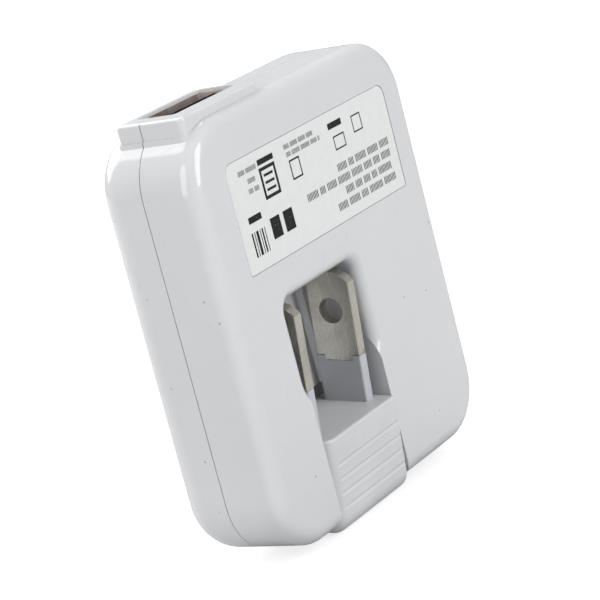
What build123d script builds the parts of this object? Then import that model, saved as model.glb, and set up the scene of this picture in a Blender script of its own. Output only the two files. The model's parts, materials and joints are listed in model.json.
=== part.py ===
from build123d import *
import os

# A USB wall charger with a folding two-blade plug.
# X runs along the fold axis, with zero midway between the blades.
# Y is the depth into the charger, with zero on the face that rests against the wall.
# Z points to the USB end, with zero at the fold axis. Lengths are millimetres.

# ---------------------------------------------------------------- casing
CASE_LEFT = -19.9
CASE_RIGHT = 28.7
CASE_BOTTOM = -5.8
CASE_TOP = 48.1
CASE_DEPTH = 15.7
CASE_CORNER_RADIUS = 7.7
WALL_SIDE_EDGE_RADIUS = 2.1
ROOM_SIDE_EDGE_RADIUS = 4.6
WALL = 1.8
SEAM_DEPTH = 8.0
LIP_HEIGHT = 1.0
LIP_THICKNESS = 0.7
LIP_CLEARANCE = 0.05
SEAM_GROOVE_WIDTH = 0.12
SEAM_GROOVE_DEPTH = 0.12
# Cutting profiles run this far past the faces that they cut.
OVERRUN = 1.0

CASE_WIDTH = CASE_RIGHT - CASE_LEFT
CASE_HEIGHT = CASE_TOP - CASE_BOTTOM
CASE_CENTRE_X = (CASE_LEFT + CASE_RIGHT) / 2
CASE_CENTRE_Z = (CASE_TOP + CASE_BOTTOM) / 2
CAVITY_DEPTH = CASE_DEPTH - 2 * WALL
CAVITY_BOTTOM = CASE_BOTTOM + WALL
CAVITY_END = CASE_DEPTH - WALL

# ---------------------------------------------------------------- USB collar and port
COLLAR_LEFT = -16.8
COLLAR_RIGHT = 0.6
COLLAR_NEAR = 1.75
COLLAR_FAR = 11.8
COLLAR_TOP = 49.2
COLLAR_SHARP_RADIUS = 0.8
COLLAR_SOFT_RADIUS = 1.8
COLLAR_RIM_RADIUS = 0.35
PLINTH_TOP = 47.0
PLINTH_MARGIN = 0.25
COLLAR_ROOT_Z = 38.0

PORT_CENTRE_X = -7.15
PORT_CENTRE_Y = 7.75
USB_SHELL_WIDTH = 13.1
USB_SHELL_DEPTH = 5.7
USB_SHELL_SHEET = 0.3
USB_SHELL_BACK_Z = 35.2
USB_SHELL_MOUTH_Z = 48.9
USB_SHELL_CORNER = 0.6
PORT_CLEARANCE = 0.05

# ---------------------------------------------------------------- blade recess and carrier bay
PIVOT_DEPTH = 5.6
BAY_HALF_WIDTH = 8.4
BAY_WALL = 1.5
BAY_TOP = 8.0
BAY_FAR = 12.8
BAY_MOUTH_RADIUS = 1.8
RECESS_TOP = 23.6
RECESS_FLARE_START = 10.0
RECESS_FLOOR_DEPTH = 9.3
RECESS_FLOOR_BACK = 10.5
RECESS_TOP_CORNER = 1.7
RECESS_LOW_CORNER = 3.5
RECESS_MOUTH_RADIUS = 1.6
BEARING_CLEARANCE = 0.05

# ---------------------------------------------------------------- rating label
LABEL_LEFT = -13.7
LABEL_RIGHT = 23.6
LABEL_BOTTOM = 28.4
LABEL_TOP = 42.2
LABEL_POCKET_DEPTH = 0.2
LABEL_THICKNESS = 0.15
LABEL_GAP = 0.1
LABEL_TOP_CORNER = 1.5
LABEL_LOW_CORNER = 0.4

# ---------------------------------------------------------------- blades and their carrier
# The blades stand slightly proud of the parallel position when the charger is at rest.
REST_ANGLE = 5.7
BLADE_SPACING = 12.7
BLADE_THICKNESS = 1.52
BLADE_WIDTH = 6.35
BLADE_REACH = 17.3
BLADE_HOLE_REACH = 12.1
BLADE_HOLE_RADIUS = 1.7
BLADE_TIP_RADIUS = 4.2
BLADE_EDGE_CHAMFER = 0.12
BLADE_ROOT_WIDTH = 4.6
BLADE_TONGUE_WIDTH = 4.0
BLADE_TONGUE_LENGTH = 0.55
SLEEVE_REACH = 6.1
BLADE_ROOT_STEP = 0.35
SLEEVE_MARGIN = 0.05
SLEEVE_EDGE_RADIUS = 0.3
SLEEVE_SLOT_CLEARANCE = 0.05
PIN_RADIUS = 1.6
PIN_INNER_X = 4.4
PIN_OUTER_X = 10.0
PIN_CHAMFER = 0.3

CARRIER_HALF_LENGTH = 8.3
CARRIER_FRONT = 5.7
CARRIER_BACK = 5.0
CARRIER_BLADE_FACE = 5.8
CARRIER_TAIL = 6.9
CARRIER_THUMB_RADIUS = 2.5
CARRIER_HEEL_RADIUS = 4.0
CARRIER_SOFT_END_RADIUS = 2.0
CARRIER_CRISP_END_RADIUS = 0.35
CARRIER_TAIL_CORNER = 1.6
CARRIER_TOP_RADIUS = 0.35
GRIP_COUNT = 4
GRIP_PITCH = 1.87
GRIP_CENTRE = -0.53
GRIP_CUTTER_RADIUS = 0.4
GRIP_DEPTH = 0.16

# ---------------------------------------------------------------- carrier retainer and its springs
RETAINER_BACK = 12.0
RETAINER_BAR_BOTTOM = 8.9
RETAINER_BAR_TOP = 13.2
RETAINER_HALF_LENGTH = 14.4
RETAINER_FIT = 0.05
SADDLE_GAP = 0.06
BOSS_Z = 11.0
BOSS_SPOTS = [(-12.2, BOSS_Z), (12.2, BOSS_Z)]
BOSS_RADIUS = 2.0
SCREW_RADIUS = 0.8
SCREW_HEAD_RADIUS = 1.5
SCREW_HEAD_HEIGHT = 1.0
SCREW_LENGTH = 5.5
SCREW_HOLE_CLEARANCE = 0.025
SCREW_PASSAGE_CLEARANCE = 0.1
STAKE_RADIUS = 0.6
DETENT_WIDTH = 4.0
DETENT_SHEET = 0.3
DETENT_REACH = 5.1
DETENT_TIP_Z = 6.0
DETENT_TIP_LENGTH = 1.0
CONTACT_SHEET = 0.4
CONTACT_WIDTH = 3.2
CONTACT_FOOT = 2.0
CONTACT_GAP = 0.02

# ---------------------------------------------------------------- circuit board and components
BOARD_FACE = 12.3
BOARD_THICKNESS = 1.0
BOARD_LEFT = -16.7
BOARD_RIGHT = 25.5
BOARD_BOTTOM = -2.6
BOARD_TOP = 44.9
BOARD_CORNER = 4.6
BOARD_WINDOW_HALF_WIDTH = 10.6
BOARD_WINDOW_TOP = 14.0
LEAD_RADIUS = 0.3
LEAD_HOLE_RADIUS = 0.4
LEAD_END = 13.6
GUIDE_PIN_RADIUS = 0.9
GUIDE_HOLE_RADIUS = 1.0
GUIDE_SPOTS = [(-14.2, 30.5), (19.0, 12.3)]
PAD_SPOTS = [(-13.5, 4.5), (-5.0, 18.5), (10.0, 26.0), (20.0, 28.0)]
PAD_RADIUS = 1.4

CAN_GAP = 0.1
CAN_RIM_RADIUS = 0.4
CAN_LEAD_REACH = 0.9
BODY_CHAMFER = 0.25
TAB_SHEET = 0.2
TAB_REACH = 0.9

INPUT_CAP_X = [15.1, 22.8]
INPUT_CAP_BASE = 14.6
INPUT_CAP_RADIUS = 3.7
INPUT_CAP_LENGTH = 11.5
INPUT_CAP_PITCH = 3.5
OUTPUT_CAP_X = -13.4
OUTPUT_CAP_BASE = 14.3
OUTPUT_CAP_RADIUS = 3.1
OUTPUT_CAP_LENGTH = 10.5
OUTPUT_CAP_PITCH = 2.5

DISC_X = 21.4
SAFETY_DISC_Z = 39.4
SAFETY_DISC_RADIUS = 3.6
SAFETY_DISC_THICKNESS = 3.0
SAFETY_DISC_PITCH = 5.0
SNUBBER_DISC_Z = 33.4
SNUBBER_DISC_RADIUS = 2.6
SNUBBER_DISC_THICKNESS = 2.2
SNUBBER_DISC_PITCH = 3.0

FUSE_X = 17.3
FUSE_Z = -0.5
FUSE_RADIUS = 1.5
FUSE_LENGTH = 6.8
BRIDGE_X = 14.6
BRIDGE_Z = 5.0
BRIDGE_WIDTH = 5.6
BRIDGE_LENGTH = 5.0
BRIDGE_HEIGHT = 2.5
BRIDGE_PITCH_X = 4.4
BRIDGE_PITCH_Z = 3.8
CHOKE_X = 21.6
CHOKE_Z = 6.4
CHOKE_RADIUS = 3.3
CHOKE_HEIGHT = 7.6
CHOKE_FLANGE = 1.0
CHOKE_MARGIN = 0.4

TRANSFORMER_X = 9.2
TRANSFORMER_Y = 7.2
TRANSFORMER_Z = 35.4
CORE_WIDTH = 16.0
CORE_HEIGHT = 13.6
CORE_DEPTH = 5.0
CORE_OUTER_LEG = 2.2
CORE_CENTRE_LEG = 4.4
CORE_YOKE = 2.2
BOBBIN_WALL = 0.6
BOBBIN_FLANGE = 0.8
BOBBIN_WIDTH = 11.2
BOBBIN_DEPTH = 9.2
COIL_WIDTH = 10.6
COIL_DEPTH = 8.6
BOBBIN_FIT = 0.05
COIL_CORNER = 1.2
TRANSFORMER_PIN_PITCH = 2.5
TRANSFORMER_PIN_COUNT = 4

OPTO_X = -4.0
OPTO_Z = 29.6
OPTO_WIDTH = 4.6
OPTO_LENGTH = 6.4
OPTO_HEIGHT = 3.3
OPTO_PITCH = 2.54
DIODE_X = -9.8
DIODE_Z = 29.6
DIODE_WIDTH = 2.6
DIODE_LENGTH = 4.3
DIODE_HEIGHT = 2.2
CHIP_X = 0.0
CHIP_Z = 20.0
CHIP_LENGTH = 4.9
CHIP_WIDTH = 3.9
CHIP_HEIGHT = 1.45
CHIP_LEGS_PER_SIDE = 4
CHIP_LEG_PITCH = 1.27
CHIP_RESISTOR_SPOTS = [(-7.0, 16.5), (-3.6, 16.5), (3.6, 16.5), (7.0, 16.5), (-7.0, 22.5), (7.0, 22.5)]
CHIP_RESISTOR_LENGTH = 2.0
CHIP_RESISTOR_WIDTH = 1.25
CHIP_RESISTOR_HEIGHT = 0.5

USB_TONGUE_WIDTH = 11.1
USB_TONGUE_NEAR = 5.75
USB_TONGUE_FAR = 7.6
USB_TONGUE_TOP = 48.8
USB_BLOCK_LENGTH = 3.0
USB_CONTACT_WIDTH = 1.0
USB_CONTACT_OUTER = 3.5
USB_CONTACT_INNER = 1.0
CONTACT_STRIP = 0.25
USB_TAIL_Z = 34.2
USB_WINDOW_Z = 42.4
USB_WINDOW_PITCH = 6.0
USB_WINDOW_WIDTH = 2.0
USB_WINDOW_LENGTH = 3.4
USB_LEG_Z = 40.2
USB_LEG_WIDTH = 2.4

os.makedirs("parts", exist_ok=True)


def depth_plane(depth):
    """Plane parallel to the wall: its own x is X and its own y is Z. It faces the wall."""
    return Plane(origin=(0, depth, 0), x_dir=(1, 0, 0), z_dir=(0, -1, 0))


def side_plane(x):
    """Plane across the fold axis: its own x is the depth Y and its own y is Z. It faces right."""
    return Plane(origin=(x, 0, 0), x_dir=(0, 1, 0), z_dir=(1, 0, 0))


def swing_plane(x):
    """Side plane carried by the folding plug: the origin is the fold axis, y runs to the blade tips."""
    turned = Vector(0, 1, 0).rotate(Axis.X, REST_ANGLE)
    return Plane(origin=(x, PIVOT_DEPTH, 0), x_dir=turned, z_dir=(1, 0, 0))


def case_outline(inset, mode=Mode.ADD):
    """Rounded outline of the casing, moved inwards by the inset."""
    with Locations((CASE_CENTRE_X, CASE_CENTRE_Z)):
        RectangleRounded(
            CASE_WIDTH - 2 * inset,
            CASE_HEIGHT - 2 * inset,
            CASE_CORNER_RADIUS - inset,
            mode=mode,
        )


def box_profile(low_x, high_x, low_y, high_y, mode=Mode.ADD):
    """Rectangle of a sketch given by its four sides."""
    with Locations(((low_x + high_x) / 2, (low_y + high_y) / 2)):
        Rectangle(high_x - low_x, high_y - low_y, mode=mode)


def finish(piece, name):
    """Label the finished piece and write it under its name."""
    piece.part.label = name
    export_step(piece.part, "parts/" + name + ".step")


def collar_profile(margin):
    """Outline of the raised USB collar seen from the USB end."""
    box_profile(COLLAR_LEFT - margin, COLLAR_RIGHT + margin, COLLAR_NEAR - margin, COLLAR_FAR + margin)


def bay_profile(top):
    """Opening for the carrier, flared where it meets the bottom edge of the casing."""
    reach = BAY_HALF_WIDTH + BAY_MOUTH_RADIUS
    flare_top = CASE_BOTTOM + BAY_MOUTH_RADIUS
    box_profile(-reach, reach, CASE_BOTTOM, flare_top)
    with Locations((-reach, flare_top), (reach, flare_top)):
        Circle(BAY_MOUTH_RADIUS, mode=Mode.SUBTRACT)
    box_profile(-reach, reach, CASE_BOTTOM - WALL, CASE_BOTTOM)
    box_profile(-BAY_HALF_WIDTH, BAY_HALF_WIDTH, CASE_BOTTOM - WALL, top)


# ================================================================ casing
# The hollow inside of the casing, rounded on the room side like the outside.
with BuildPart() as cavity:
    with BuildSketch(depth_plane(WALL)):
        case_outline(WALL)
    extrude(amount=-CAVITY_DEPTH)
    fillet(cavity.faces().sort_by(Axis.Y)[-1].edges(), ROOM_SIDE_EDGE_RADIUS - WALL)

# The complete casing with its USB collar, before it is parted into two shells.
with BuildPart() as casing:
    with BuildSketch(depth_plane(0)):
        case_outline(0)
    extrude(amount=-CASE_DEPTH)
    fillet(casing.faces().sort_by(Axis.Y)[0].edges(), WALL_SIDE_EDGE_RADIUS)
    fillet(casing.faces().sort_by(Axis.Y)[-1].edges(), ROOM_SIDE_EDGE_RADIUS)
    with BuildSketch(Plane.XY.offset(COLLAR_ROOT_Z)) as plinth:
        collar_profile(PLINTH_MARGIN)
        fillet(plinth.vertices(), COLLAR_SHARP_RADIUS + PLINTH_MARGIN)
    extrude(amount=PLINTH_TOP - COLLAR_ROOT_Z)
    with BuildSketch(Plane.XY.offset(COLLAR_ROOT_Z)) as collar:
        collar_profile(0)
        fillet(collar.vertices().group_by(Axis.X)[0], COLLAR_SHARP_RADIUS)
        fillet(collar.vertices().group_by(Axis.X)[-1], COLLAR_SOFT_RADIUS)
    extrude(amount=COLLAR_TOP - COLLAR_ROOT_Z)
    fillet(casing.faces().sort_by(Axis.Z)[-1].edges(), COLLAR_RIM_RADIUS)
    add(cavity.part, mode=Mode.SUBTRACT)
    with BuildSketch(Plane.XY.offset(COLLAR_ROOT_Z)):
        with Locations((PORT_CENTRE_X, PORT_CENTRE_Y)):
            RectangleRounded(
                USB_SHELL_WIDTH + 2 * PORT_CLEARANCE,
                USB_SHELL_DEPTH + 2 * PORT_CLEARANCE,
                USB_SHELL_CORNER + PORT_CLEARANCE,
            )
    extrude(amount=COLLAR_TOP - COLLAR_ROOT_Z, mode=Mode.SUBTRACT)
    # Shallow groove along the parting line, around the casing and over the collar.
    with BuildSketch(depth_plane(SEAM_DEPTH - SEAM_GROOVE_WIDTH / 2)):
        groove = SEAM_GROOVE_DEPTH
        case_outline(-OVERRUN)
        box_profile(COLLAR_LEFT - OVERRUN, COLLAR_RIGHT + OVERRUN, CASE_CENTRE_Z, COLLAR_TOP + OVERRUN)
        case_outline(groove, mode=Mode.SUBTRACT)
        box_profile(
            COLLAR_LEFT + groove,
            COLLAR_RIGHT - groove,
            CASE_CENTRE_Z,
            COLLAR_TOP - groove,
            mode=Mode.SUBTRACT,
        )
    extrude(amount=-SEAM_GROOVE_WIDTH, mode=Mode.SUBTRACT)

# Wall-side shell: blade recess, carrier bay with its bearings, label pocket and closing lip.
with BuildPart() as rear_shell:
    add(casing.part)
    split(bisect_by=depth_plane(SEAM_DEPTH), keep=Keep.TOP)
    # Lip that locates the other shell, left out where the port and the plug bay break the seam.
    with BuildSketch(depth_plane(SEAM_DEPTH)):
        case_outline(WALL - LIP_THICKNESS)
        case_outline(WALL, mode=Mode.SUBTRACT)
        port_reach = USB_SHELL_WIDTH / 2 + LIP_THICKNESS
        box_profile(
            PORT_CENTRE_X - port_reach,
            PORT_CENTRE_X + port_reach,
            CASE_CENTRE_Z,
            CASE_TOP,
            mode=Mode.SUBTRACT,
        )
    extrude(amount=-LIP_HEIGHT)
    # Block around the recess and the bay, clear of the other shell beyond the seam.
    block_half_width = BAY_HALF_WIDTH + BAY_WALL
    block_top = RECESS_TOP + BAY_WALL
    with BuildSketch(depth_plane(WALL / 2)):
        box_profile(-block_half_width, block_half_width, CASE_BOTTOM + WALL / 2, block_top)
    extrude(amount=-(SEAM_DEPTH - WALL / 2))
    with BuildSketch(depth_plane(SEAM_DEPTH)):
        box_profile(-block_half_width, block_half_width, CAVITY_BOTTOM + LIP_CLEARANCE, block_top)
    extrude(amount=-(RECESS_FLOOR_BACK - SEAM_DEPTH))
    # Screw bosses of the retainer.
    with BuildSketch(depth_plane(WALL / 2)):
        with Locations(*BOSS_SPOTS):
            Circle(BOSS_RADIUS)
    extrude(amount=-(RECESS_FLOOR_BACK - WALL / 2))
    with BuildSketch(depth_plane(RECESS_FLOOR_BACK)):
        with Locations(*BOSS_SPOTS):
            Circle(SCREW_RADIUS + SCREW_HOLE_CLEARANCE)
    extrude(amount=SCREW_LENGTH, mode=Mode.SUBTRACT)
    # Blade recess with its softly rounded mouth.
    with BuildSketch(depth_plane(0)) as recess:
        box_profile(-BAY_HALF_WIDTH, BAY_HALF_WIDTH, RECESS_FLARE_START, RECESS_TOP)
        fillet(recess.vertices().group_by(Axis.Y)[0], RECESS_LOW_CORNER)
        fillet(recess.vertices().group_by(Axis.Y)[-1], RECESS_TOP_CORNER)
    extrude(amount=-RECESS_FLOOR_DEPTH, mode=Mode.SUBTRACT)
    mouth = rear_shell.edges().filter_by_position(Axis.Y, 0, 0).filter_by(
        lambda edge: abs(edge.center().X) < block_half_width and edge.center().Z < LABEL_BOTTOM
        and edge.center().Z > CASE_BOTTOM + CASE_CORNER_RADIUS
    )
    fillet(mouth, RECESS_MOUTH_RADIUS)
    # The bay's width carried up into the recess, so that the mouth rounding runs out along it.
    with BuildSketch(depth_plane(0)):
        runout_top = RECESS_FLARE_START + RECESS_LOW_CORNER
        box_profile(-BAY_HALF_WIDTH, BAY_HALF_WIDTH, BAY_TOP, runout_top)
    extrude(amount=-RECESS_FLOOR_DEPTH, mode=Mode.SUBTRACT)
    # Bay of the carrier, open at the bottom edge and to the inside.
    with BuildSketch(depth_plane(0)):
        bay_profile(BAY_TOP)
    extrude(amount=-BAY_FAR, mode=Mode.SUBTRACT)
    # Bearing slots of the pivot pins, open towards the room so that the carrier drops in.
    with BuildSketch(side_plane(-block_half_width)):
        with Locations((PIVOT_DEPTH, 0)):
            Circle(PIN_RADIUS + BEARING_CLEARANCE)
        slot_half = PIN_RADIUS + BEARING_CLEARANCE
        box_profile(PIVOT_DEPTH, BAY_FAR, -slot_half, slot_half)
    extrude(amount=2 * block_half_width, mode=Mode.SUBTRACT)
    # Shallow pocket of the rating label.
    with BuildSketch(depth_plane(0)) as label_pocket:
        box_profile(LABEL_LEFT, LABEL_RIGHT, LABEL_BOTTOM, LABEL_TOP)
        fillet(label_pocket.vertices().group_by(Axis.Y)[0], LABEL_LOW_CORNER)
        fillet(label_pocket.vertices().group_by(Axis.Y)[-1], LABEL_TOP_CORNER)
    extrude(amount=-LABEL_POCKET_DEPTH, mode=Mode.SUBTRACT)
finish(rear_shell, "rear_shell")

# Room-side shell: plain outside, board supports inside, rebate for the lip of the rear shell.
with BuildPart() as front_shell:
    add(casing.part)
    split(bisect_by=depth_plane(SEAM_DEPTH), keep=Keep.BOTTOM)
    with BuildSketch(depth_plane(SEAM_DEPTH)):
        case_outline(WALL - LIP_THICKNESS - LIP_CLEARANCE)
        case_outline(WALL, mode=Mode.SUBTRACT)
    extrude(amount=-(LIP_HEIGHT + LIP_CLEARANCE), mode=Mode.SUBTRACT)
    with BuildSketch(depth_plane(SEAM_DEPTH)):
        bay_profile(CAVITY_BOTTOM + WALL)
    extrude(amount=-(BAY_FAR - SEAM_DEPTH), mode=Mode.SUBTRACT)
    with BuildSketch(depth_plane(BOARD_FACE + BOARD_THICKNESS)):
        with Locations(*PAD_SPOTS, *GUIDE_SPOTS):
            Circle(PAD_RADIUS)
    extrude(amount=-(CASE_DEPTH - WALL / 2 - BOARD_FACE - BOARD_THICKNESS))
    with BuildSketch(depth_plane(BOARD_FACE - GUIDE_PIN_RADIUS)):
        with Locations(*GUIDE_SPOTS):
            Circle(GUIDE_PIN_RADIUS)
    extrude(amount=-(CAVITY_END - BOARD_FACE + GUIDE_PIN_RADIUS))
finish(front_shell, "front_shell")

# Printed rating label, lying in its pocket just below the wall face.
with BuildPart() as rating_label:
    with BuildSketch(depth_plane(LABEL_POCKET_DEPTH)) as label_outline:
        box_profile(
            LABEL_LEFT + LABEL_GAP,
            LABEL_RIGHT - LABEL_GAP,
            LABEL_BOTTOM + LABEL_GAP,
            LABEL_TOP - LABEL_GAP,
        )
        fillet(label_outline.vertices().group_by(Axis.Y)[0], LABEL_LOW_CORNER - LABEL_GAP)
        fillet(label_outline.vertices().group_by(Axis.Y)[-1], LABEL_TOP_CORNER - LABEL_GAP)
    extrude(amount=LABEL_THICKNESS)
finish(rating_label, "rating_label")

# ================================================================ folding plug
blade_centres = {"left": -BLADE_SPACING / 2, "right": BLADE_SPACING / 2}
sides = {"left": -1, "right": 1}
reach_axis = Axis((0, PIVOT_DEPTH, 0), swing_plane(0).y_dir)


# Carrier block: flat to the wall, ribbed for the thumb, rounded where it swings past the casing.
with BuildPart() as blade_carrier:
    with BuildSketch(swing_plane(-CARRIER_HALF_LENGTH)) as section:
        with BuildLine():
            thumb = CARRIER_THUMB_RADIUS
            heel = CARRIER_HEEL_RADIUS
            front_edge = Line((-CARRIER_FRONT, CARRIER_BLADE_FACE), (-CARRIER_FRONT, thumb - CARRIER_TAIL))
            thumb_arc = RadiusArc(front_edge @ 1, (thumb - CARRIER_FRONT, -CARRIER_TAIL), -thumb)
            tail_edge = Line(thumb_arc @ 1, (CARRIER_BACK - heel, -CARRIER_TAIL))
            heel_arc = RadiusArc(tail_edge @ 1, (CARRIER_BACK, heel - CARRIER_TAIL), -heel)
            back_edge = Line(heel_arc @ 1, (CARRIER_BACK, CARRIER_BLADE_FACE))
            Line(back_edge @ 1, front_edge @ 0)
        make_face()
    extrude(amount=2 * CARRIER_HALF_LENGTH)
    # The left end is well rounded and the right end crisp, all but their edges along the blade face.
    blade_face = blade_carrier.faces().sort_by(reach_axis)[-1]
    left_end, right_end = blade_carrier.faces().filter_by(Axis.X).sort_by(Axis.X)
    fillet(left_end.edges() - blade_face.edges(), CARRIER_SOFT_END_RADIUS)
    right_end = blade_carrier.faces().filter_by(Axis.X).sort_by(Axis.X)[-1]
    blade_face = blade_carrier.faces().sort_by(reach_axis)[-1]
    fillet(right_end.edges() - blade_face.edges(), CARRIER_CRISP_END_RADIUS)
    blade_face = blade_carrier.faces().sort_by(reach_axis)[-1]
    fillet(blade_face.edges(), CARRIER_TOP_RADIUS)
    # Rounded tail corner of the right end, seen from the wall.
    wall_view = Plane(origin=(0, PIVOT_DEPTH, 0), x_dir=(1, 0, 0), z_dir=-swing_plane(0).x_dir)
    with BuildSketch(wall_view) as outline:
        box_profile(-CARRIER_HALF_LENGTH, CARRIER_HALF_LENGTH, -CARRIER_TAIL, CARRIER_BLADE_FACE)
        fillet(outline.vertices().group_by(Axis.Y)[0].sort_by(Axis.X)[-1], CARRIER_TAIL_CORNER)
    extrude(amount=CARRIER_FRONT + OVERRUN, both=True, mode=Mode.INTERSECT)
    # Grip grooves across the thumb side.
    with BuildSketch(swing_plane(-CARRIER_HALF_LENGTH)):
        groove_depth = -CARRIER_FRONT - GRIP_CUTTER_RADIUS + GRIP_DEPTH
        with Locations((groove_depth, GRIP_CENTRE)):
            with GridLocations(0, GRIP_PITCH, 1, GRIP_COUNT):
                Circle(GRIP_CUTTER_RADIUS)
    extrude(amount=2 * CARRIER_HALF_LENGTH, mode=Mode.SUBTRACT)
    # Slots of the blade roots and bore of the pivot pins.
    for centre in blade_centres.values():
        with BuildSketch(swing_plane(centre - BLADE_THICKNESS / 2)):
            slot_half = BLADE_ROOT_WIDTH / 2
            box_profile(-slot_half, slot_half, -slot_half, CARRIER_BLADE_FACE)
        extrude(amount=BLADE_THICKNESS, mode=Mode.SUBTRACT)
    for side in sides.values():
        with BuildSketch(swing_plane(side * PIN_INNER_X)):
            Circle(PIN_RADIUS)
        extrude(amount=side * (CARRIER_HALF_LENGTH - PIN_INNER_X), mode=Mode.SUBTRACT)
finish(blade_carrier, "blade_carrier")

for side_name, centre in blade_centres.items():
    # Blade: drilled flat bar with a bowed tip and broken edges, its root narrowed around the pivot pin.
    with BuildPart() as blade:
        tip = CARRIER_BLADE_FACE + BLADE_REACH
        junction = CARRIER_BLADE_FACE + SLEEVE_REACH
        with BuildSketch(swing_plane(centre - BLADE_THICKNESS / 2)):
            box_profile(-BLADE_WIDTH / 2, BLADE_WIDTH / 2, junction, tip)
            with Locations((0, tip - BLADE_TIP_RADIUS)):
                Circle(BLADE_TIP_RADIUS, mode=Mode.INTERSECT)
            box_profile(-BLADE_WIDTH / 2, BLADE_WIDTH / 2, junction, tip - BLADE_TIP_RADIUS)
        extrude(amount=BLADE_THICKNESS)
        chamfer(blade.faces().filter_by(Axis.X).edges(), BLADE_EDGE_CHAMFER)
        with BuildSketch(swing_plane(centre - BLADE_THICKNESS / 2)):
            with Locations((0, CARRIER_BLADE_FACE + BLADE_HOLE_REACH)):
                Circle(BLADE_HOLE_RADIUS)
        extrude(amount=BLADE_THICKNESS, mode=Mode.SUBTRACT)
        root_half = BLADE_ROOT_WIDTH / 2
        core = BLADE_THICKNESS - 2 * BLADE_ROOT_STEP
        with BuildSketch(swing_plane(centre - core / 2)):
            box_profile(-root_half, root_half, CARRIER_BLADE_FACE, junction + BLADE_TONGUE_LENGTH)
        extrude(amount=core)
        with BuildSketch(swing_plane(centre - BLADE_THICKNESS / 2)):
            tongue_half = BLADE_TONGUE_WIDTH / 2
            tongue_reach = BLADE_TONGUE_LENGTH
            box_profile(-tongue_half, tongue_half, junction - tongue_reach, junction + tongue_reach)
            box_profile(-root_half, root_half, -root_half, CARRIER_BLADE_FACE)
            Circle(PIN_RADIUS, mode=Mode.SUBTRACT)
        extrude(amount=BLADE_THICKNESS)
    finish(blade, "blade_" + side_name)

    # Moulded sleeve around the root between the carrier and the bare metal.
    with BuildPart() as sleeve:
        sleeve_half = BLADE_THICKNESS / 2 + SLEEVE_MARGIN
        wide_half = BLADE_WIDTH / 2 + SLEEVE_MARGIN
        with BuildSketch(swing_plane(centre - sleeve_half)):
            box_profile(-wide_half, wide_half, CARRIER_BLADE_FACE, junction)
        extrude(amount=2 * sleeve_half)
        fillet(sleeve.edges().filter_by(reach_axis), SLEEVE_EDGE_RADIUS)
        # Open slot in which the tongue of the bare metal lies bare.
        with BuildSketch(swing_plane(centre - sleeve_half)):
            slot_half = BLADE_TONGUE_WIDTH / 2 + SLEEVE_SLOT_CLEARANCE
            slot_bottom = junction - BLADE_TONGUE_LENGTH - SLEEVE_SLOT_CLEARANCE
            box_profile(-slot_half, slot_half, slot_bottom, junction)
        extrude(amount=2 * sleeve_half, mode=Mode.SUBTRACT)
        add(blade.part, mode=Mode.SUBTRACT)
    finish(sleeve, "blade_sleeve_" + side_name)

    # Pivot pin: pressed through the carrier and the blade root, and carries the current.
    side = sides[side_name]
    with BuildPart() as pin:
        with BuildSketch(swing_plane(side * PIN_INNER_X)):
            Circle(PIN_RADIUS)
        extrude(amount=side * (PIN_OUTER_X - PIN_INNER_X))
        chamfer(pin.faces().sort_by(Axis.X)[-1 if side > 0 else 0].edges(), PIN_CHAMFER)
    finish(pin, "pivot_pin_" + side_name)

# ================================================================ inside the casing
# Retainer: bar across the back of the recess whose arms close the bearing slots.
with BuildPart() as carrier_retainer:
    with BuildSketch(depth_plane(RECESS_FLOOR_BACK)):
        box_profile(-RETAINER_HALF_LENGTH, RETAINER_HALF_LENGTH, RETAINER_BAR_BOTTOM, RETAINER_BAR_TOP)
        with Locations(*BOSS_SPOTS):
            Circle(SCREW_RADIUS + SCREW_PASSAGE_CLEARANCE, mode=Mode.SUBTRACT)
    extrude(amount=-(RETAINER_BACK - RECESS_FLOOR_BACK))
    for side in sides.values():
        arm_inner = BAY_HALF_WIDTH + RETAINER_FIT
        arm_outer = BAY_HALF_WIDTH + BAY_WALL - RETAINER_FIT
        arm_bottom = -PIN_RADIUS
        with BuildSketch(depth_plane(RECESS_FLOOR_BACK + RETAINER_FIT)):
            low, high = sorted((side * arm_inner, side * arm_outer))
            box_profile(low, high, arm_bottom, RETAINER_BAR_TOP)
        extrude(amount=-(RETAINER_BACK - RECESS_FLOOR_BACK - RETAINER_FIT))
        with BuildSketch(side_plane(side * arm_inner)):
            box_profile(PIVOT_DEPTH, RETAINER_BACK, -PIN_RADIUS, PIN_RADIUS)
            with Locations((PIVOT_DEPTH, 0)):
                Circle(PIN_RADIUS + SADDLE_GAP, mode=Mode.SUBTRACT)
            box_profile(PIVOT_DEPTH, PIVOT_DEPTH + PIN_RADIUS / 2, -PIN_RADIUS, PIN_RADIUS, Mode.SUBTRACT)
        extrude(amount=side * (arm_outer - arm_inner))
    with BuildSketch(depth_plane(RETAINER_BACK)):
        with Locations((0, BOSS_Z)):
            Circle(STAKE_RADIUS)
    extrude(amount=-2 * DETENT_SHEET)
finish(carrier_retainer, "carrier_retainer")

# The two identical screws of the retainer.
with BuildPart() as retainer_screws:
    with BuildSketch(depth_plane(RETAINER_BACK)):
        with Locations(*BOSS_SPOTS):
            Circle(SCREW_HEAD_RADIUS)
    extrude(amount=-SCREW_HEAD_HEIGHT)
    with BuildSketch(depth_plane(RETAINER_BACK)):
        with Locations(*BOSS_SPOTS):
            Circle(SCREW_RADIUS)
    extrude(amount=SCREW_LENGTH)
    with BuildSketch(depth_plane(RETAINER_BACK + SCREW_HEAD_HEIGHT)):
        with Locations(*BOSS_SPOTS):
            Rectangle(2 * SCREW_RADIUS, SCREW_RADIUS / 3)
            Rectangle(SCREW_RADIUS / 3, 2 * SCREW_RADIUS)
    extrude(amount=SCREW_HEAD_HEIGHT / 2, mode=Mode.SUBTRACT)
finish(retainer_screws, "retainer_screws")

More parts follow.
